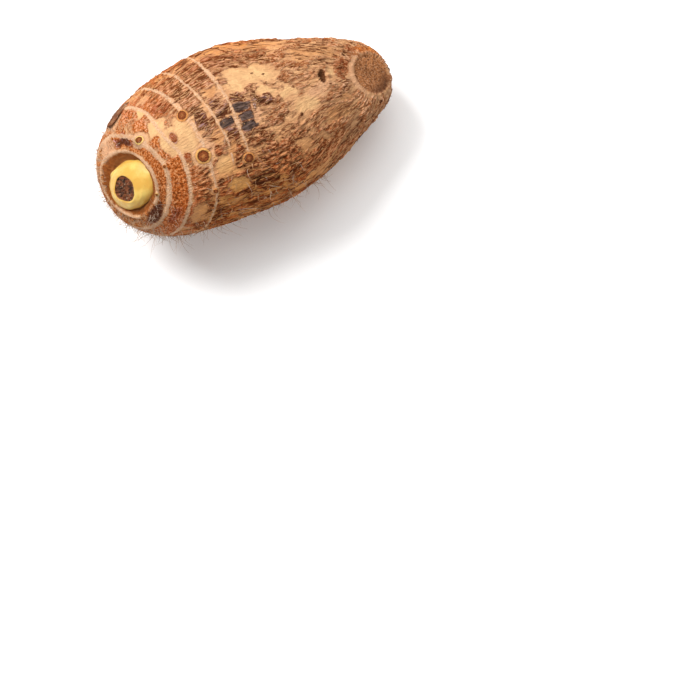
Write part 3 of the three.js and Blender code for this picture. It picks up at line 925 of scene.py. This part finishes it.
class TARO_OT_shoot_bud(Operator):
    """Set the trimmed shoot bud in the crown"""

    bl_idname = "taro.shoot_bud"
    bl_label = "Shoot bud"

    def execute(self, context):
        look = context.scene.taro_bud
        mesh, ball = ball_mesh("shoot_bud_flesh", 128, 96)
        share = np.arccos(np.clip(ball[:, 2], -1, 1)) / math.pi  # 0 on top, 1 at the foot
        turn = np.arctan2(ball[:, 1], ball[:, 0])
        lumps = roughness_field(ball * 1.3, 2, 11)
        crust = roughness_field(ball * 9.0, 3, 12)
        # along the profile from the middle of the cut to the middle of the foot: share of the way,
        # radius, and height as a share of the bud's
        profile = (
            (0.0, 0.0, 0.93), (0.1, 0.5 * CUT_RADIUS, 0.91), (0.19, CUT_RADIUS, 0.9),
            (0.205, CUT_RADIUS + 0.12, 0.985), (0.24, CUT_RADIUS + 0.5, 0.99),
            (0.34, 0.78 * BUD_RADIUS, 0.8), (0.44, 0.94 * BUD_RADIUS, 0.55), (0.54, BUD_RADIUS, 0.3),
            (0.66, 0.97 * BUD_RADIUS, 0.08), (0.72, BUD_FOOT, 0.0), (0.86, 0.5 * BUD_FOOT, 0.0),
            (1.0, 0.0, 0.0),
        )
        stations, radii, heights = zip(*profile)
        r = np.interp(share, stations, radii)
        h = np.interp(share, stations, heights) * BUD_HEIGHT
        near_cut = smoothstep(0.4, 0.22, share)
        r = r * (1 + near_cut * (0.03 * np.cos(4 * turn + 0.6) + 0.05 * np.cos(3 * turn)))
        r = r * (1 + 0.035 * lumps * (1 - near_cut))
        scallops = smoothstep(0.42, 0.5, share) * smoothstep(0.7, 0.6, share)
        r = r + 0.2 * scallops * np.abs(np.sin(4.5 * turn + 1.5 * lumps))
        on_cut = smoothstep(0.21, 0.185, share)
        ripples = roughness_field(ball * 3.0, 2, 13)
        h = h + on_cut * 0.4 * crust + smoothstep(0.7, 0.6, share) * 0.1 * ripples
        knob = np.hypot((turn - math.radians(KNOB_SIDE)) * 3.2, (share - 0.42) * 22)
        h = h + 0.45 * smoothstep(1.0, 0.1, knob)
        r = r + 0.3 * smoothstep(1.0, 0.1, knob)

        axis = -section_axis(0)
        side = np.cross(axis, [0.0, 1.0, 0.0])
        pole = skin(np.array([0.0]), np.array([0.0]))[0]
        base = pole + axis * (0.3 - CUP_DEPTH)
        leaning = (h / BUD_HEIGHT) ** 2
        down = BODY_LENGTH + (TIP_LENGTH - BODY_LENGTH) * leaning
        across = BODY_WIDTH + (TIP_WIDTH - BODY_WIDTH) * leaning
        x = r * np.cos(turn) * down + TIP_DOWN * leaning
        y = r * np.sin(turn) * across - TIP_SIDE * leaning - BODY_SIDE * (1 - leaning)
        places = base + np.outer(h, axis) + np.outer(x, side) + np.outer(y, [0.0, 1.0, 0.0])
        mesh.vertices.foreach_set("co", (places * MM).ravel())
        mesh.update()
        turned = bmesh.new()
        turned.from_mesh(mesh)
        bmesh.ops.recalc_face_normals(turned, faces=turned.faces)
        turned.to_mesh(mesh)
        turned.free()
        store(mesh, "cut", smoothstep(0.215, 0.195, share + 0.004 * crust))
        store(mesh, "foot", smoothstep(0.35, 0.6, share))
        material = bud_material(tones_of(look, "flesh", "pale", "cut"))
        placed_piece("shoot_bud_flesh", mesh, material, "shoot_flesh", "shoot_bud")
        return {"FINISHED"}


class TARO_OT_scale_leaf(Operator):
    """Hang the loose dry scale on the crown's upper edge"""

    bl_idname = "taro.scale_leaf"
    bl_label = "Scale leaf"

    def execute(self, context):
        look = context.scene.taro_scale
        bm = bmesh.new()
        bmesh.ops.create_grid(bm, x_segments=28, y_segments=24, size=0.5)
        for v in bm.verts:
            reach, across = v.co.x + 0.5, v.co.y
            ragged = noise.noise(Vector((across * 9.0, 3.7, 0.0)))
            reach = reach * (1 + 0.22 * ragged)
            t = np.array([LEAF_ROOT - LEAF_REACH * reach])
            taper = 1 - 0.55 * reach * reach
            turn = np.radians([-2 + LEAF_WIDTH * across * taper])
            normal, _ = outward(t, turn)
            curl = 0.4 + 0.5 * reach**2 + 0.2 * noise.noise(Vector((across * 5, reach * 3, 1.0)))
            v.co = Vector((skin(t, turn) + normal * curl)[0] * MM)
        bmesh.ops.recalc_face_normals(bm, faces=bm.faces)
        bmesh.ops.solidify(bm, geom=bm.faces[:], thickness=look.thickness)
        bmesh.ops.recalc_face_normals(bm, faces=bm.faces)
        material = dry_material("dry_scale", tuple(look.colour))
        placed_piece("scale_leaf_dry", mesh_of("scale_leaf_dry", bm), material, "dry_scale", "scale_leaf")
        return {"FINISHED"}


def on_cream(t, degrees):
    """Whether a place lies on or near a cream patch, where the skin is smooth."""
    for kind, section, side, half_length, half_width in PATCHES:
        across = float(wrapped(degrees - side)) / (half_width + 3.0)
        if kind == "cream" and math.hypot((t - section) / (half_length + 0.3), across) < 1.2:
            return True
    return False


def strands(name, paths, thickness, draw):
    """A mesh of thin tapered strands, each along its own list of points in millimetres and with its
    own tone."""
    curve = bpy.data.curves.new(name, "CURVE")
    curve.dimensions = "3D"
    curve.bevel_depth = thickness / 2
    curve.bevel_resolution = 0
    curve.use_fill_caps = True
    curve.resolution_u = 1
    for path in paths:
        spline = curve.splines.new("POLY")
        spline.points.add(len(path) - 1)
        for k, place in enumerate(path):
            spline.points[k].co = (*(np.array(place) * MM), 1.0)
            spline.points[k].radius = 1.0 - 0.75 * k / (len(path) - 1)
    holder = bpy.data.objects.new(name, curve)
    bpy.context.scene.collection.objects.link(holder)
    bpy.context.view_layer.update()
    mesh = bpy.data.meshes.new_from_object(holder.evaluated_get(bpy.context.evaluated_depsgraph_get()))
    bpy.data.objects.remove(holder)
    bpy.data.curves.remove(curve)
    each = len(mesh.vertices) // len(paths)
    store(mesh, "tone", np.repeat([draw.random() for _ in paths], each))
    return mesh


class TARO_OT_hairs(Operator):
    """Scatter the fine root hairs and the loose fibres over the skin"""

    bl_idname = "taro.hairs"
    bl_label = "Hairs and fibres"

    def execute(self, context):
        look = context.scene.taro_hairs
        draw = Random(HAIR_SEED)
        paths = [self.hair(t, math.radians(side), reach, draw) for t, side, reach in LONG_HAIRS]
        while len(paths) < look.hairs:
            if draw.random() < 0.5:
                t, degrees = draw.uniform(1.95, 5.0), draw.gauss(265, 60)
            else:
                t, degrees = draw.uniform(3.0, 9.5), draw.gauss(200, 50)
            turn = math.radians(degrees)
            reach = draw.uniform(1.0, 3.4) if draw.random() < 0.88 else draw.uniform(4.0, 9.0)
            path = self.hair(t, turn, reach, draw)
            if min(p[2] for p in path) > 0.15:
                paths.append(path)
        # the crown's first ring is torn open here and frayed
        for _ in range(look.frayed):
            t, turn = draw.uniform(2.0, 2.6), math.radians(draw.uniform(142, 190))
            paths.append(self.hair(t, turn, draw.uniform(1.2, 3.4), draw, 0.25))
        mesh = strands("root_hairs", paths, look.thickness, draw)
        material = strand_material("root_hair", tuple(look.hair_colour), HAIR_PALE)
        placed_piece("root_hairs", mesh, material, "dry_scale")

        paths = []
        while len(paths) < look.fibres:
            t, degrees = draw.uniform(5.1, 13.3), draw.uniform(0, 360)
            path = self.fibre(t, math.radians(degrees), draw)
            if min(p[2] for p in path) > 0.15 and not on_cream(t, degrees):
                paths.append(path)
        mesh = strands("bark_fibres", paths, 3.0 * look.thickness, draw)
        material = strand_material("loose_fibre", tuple(look.fibre_colour), LOOSE_PALE)
        placed_piece("bark_fibres", mesh, material, "corky_skin")
        return {"FINISHED"}

    def hair(self, t, turn, reach, draw, upright=1.0):
        """A hair that leaves the skin and bends over."""
        here, angle = np.array([t]), np.array([turn])
        normal, lengthwise = (v[0] for v in outward(here, angle))
        crosswise = np.cross(normal, lengthwise)
        aim = unit(upright * normal + draw.gauss(0, 0.6) * lengthwise + draw.gauss(0, 0.7) * crosswise)
        bend = draw.gauss(0, 0.5) * lengthwise + draw.gauss(0, 0.5) * crosswise
        place = skin(here, angle)[0] - 0.1 * normal
        path = [place]
        for _ in range(5):
            place = place + aim * reach / 5
            path.append(place)
            aim = unit(aim + 0.45 * bend + 0.12 * np.array([draw.gauss(0, 1) for _ in range(3)]))
        return path

    def fibre(self, t, turn, draw):
        """A fibre that lies along the grain and lifts at one end."""
        run = draw.uniform(0.12, 0.55)
        towards = draw.choice((-1, 1))
        lift = draw.uniform(0.1, 0.7) if draw.random() < 0.3 else draw.uniform(0.0, 0.15)
        drift = draw.gauss(0, 0.03)
        path = []
        for k in range(6):
            f = k / 5
            here = np.array([min(max(t + towards * run * f, 3.2), 13.8)])
            angle = np.array([turn + drift * f])
            normal = outward(here, angle)[0][0]
            path.append(skin(here, angle)[0] + normal * (0.2 + lift * f * f))
        return path


VIEW_TURN = -23.4  # in degrees
VIEW_MIDDLE = (2.28, -69.02, 22.0)  # the place that the camera looks straight down at

# Soft lights: name, place to the right, up the view and above the floor in metres, share of the main
# light's power, and size.
LIGHTS = (
    ("key_light", -0.45, 0.42, 0.75, 1.0, 0.42),
    ("top_light", 0.1, 0.5, 0.9, 0.45, 0.7),
)


class TARO_OT_stage(Operator):
    """Set the plain floor, the soft lights and the camera above"""

    bl_idname = "taro.stage"
    bl_label = "Stage"

    def execute(self, context):
        look = context.scene.taro_stage
        scene = context.scene
        bm = bmesh.new()
        bmesh.ops.create_grid(bm, x_segments=1, y_segments=1, size=3.0)
        mesh = mesh_of("floor", bm)
        floor = bpy.data.objects.new("floor", mesh)
        scene.collection.objects.link(floor)
        mesh.materials.append(Recipe("floor_white", 0.9).finish(tuple(look.floor)))

        world = bpy.data.worlds.new("soft_room")
        scene.world = world
        world.use_nodes = True
        room = world.node_tree.nodes["Background"].inputs
        room["Color"].default_value = (1, 1, 1, 1)
        room["Strength"].default_value = look.fill

        # the view is turned so that the root's crown points down and to the left
        roll = math.radians(VIEW_TURN)
        above = Vector(VIEW_MIDDLE) * MM + Vector((0, 0, look.distance))
        camera = bpy.data.cameras.new("camera")
        camera.angle = 2 * math.atan(look.view_width / 2 / look.distance)
        camera.clip_start = 0.01
        eye = bpy.data.objects.new("camera", camera)
        eye.matrix_world = Matrix.Translation(above) @ Matrix.Rotation(roll, 4, "Z")
        scene.collection.objects.link(eye)
        scene.camera = eye

        right = Vector((math.cos(roll), math.sin(roll), 0))
        up = Vector((-math.sin(roll), math.cos(roll), 0))
        for name, rightward, upward, height, share, size in LIGHTS:
            place = rightward * right + upward * up + Vector((0, 0, height))
            light = bpy.data.lights.new(name, "AREA")
            light.energy = share * look.key
            light.size = size
            lamp = bpy.data.objects.new(name, light)
            lamp.location = place
            lamp.rotation_euler = (-place).to_track_quat("-Z", "Y").to_euler()
            scene.collection.objects.link(lamp)
        scene.view_settings.view_transform = "Standard"
        return {"FINISHED"}


# Panel and run

PIECES = (TARO_OT_stage, TARO_OT_corm, TARO_OT_shoot_bud, TARO_OT_scale_leaf, TARO_OT_hairs)
GROUPS = {
    "taro_corm": TaroCormSettings,
    "taro_bud": TaroBudSettings,
    "taro_scale": TaroScaleSettings,
    "taro_hairs": TaroHairSettings,
    "taro_stage": TaroStageSettings,
}


class TARO_PT_panel(Panel):
    """Lists the pieces of the taro root"""

    bl_idname = "TARO_PT_panel"
    bl_label = "Taro Root"
    bl_space_type = "VIEW_3D"
    bl_region_type = "UI"
    bl_category = "Taro Root"

    def draw(self, context):
        for piece in PIECES:
            self.layout.operator(piece.bl_idname)


def register():
    for group in GROUPS.values():
        bpy.utils.register_class(group)
    for name, group in GROUPS.items():
        setattr(bpy.types.Scene, name, PointerProperty(type=group))
    for cls in (*PIECES, TARO_PT_panel):
        bpy.utils.register_class(cls)


def unregister():
    for cls in (TARO_PT_panel, *reversed(PIECES)):
        bpy.utils.unregister_class(cls)
    for name, group in GROUPS.items():
        delattr(bpy.types.Scene, name)
        bpy.utils.unregister_class(group)


def main():
    register()
    bpy.ops.taro.stage()
    bpy.ops.taro.corm()
    bpy.ops.taro.shoot_bud()
    bpy.ops.taro.scale_leaf()
    bpy.ops.taro.hairs()


if __name__ == "__main__":
    main()
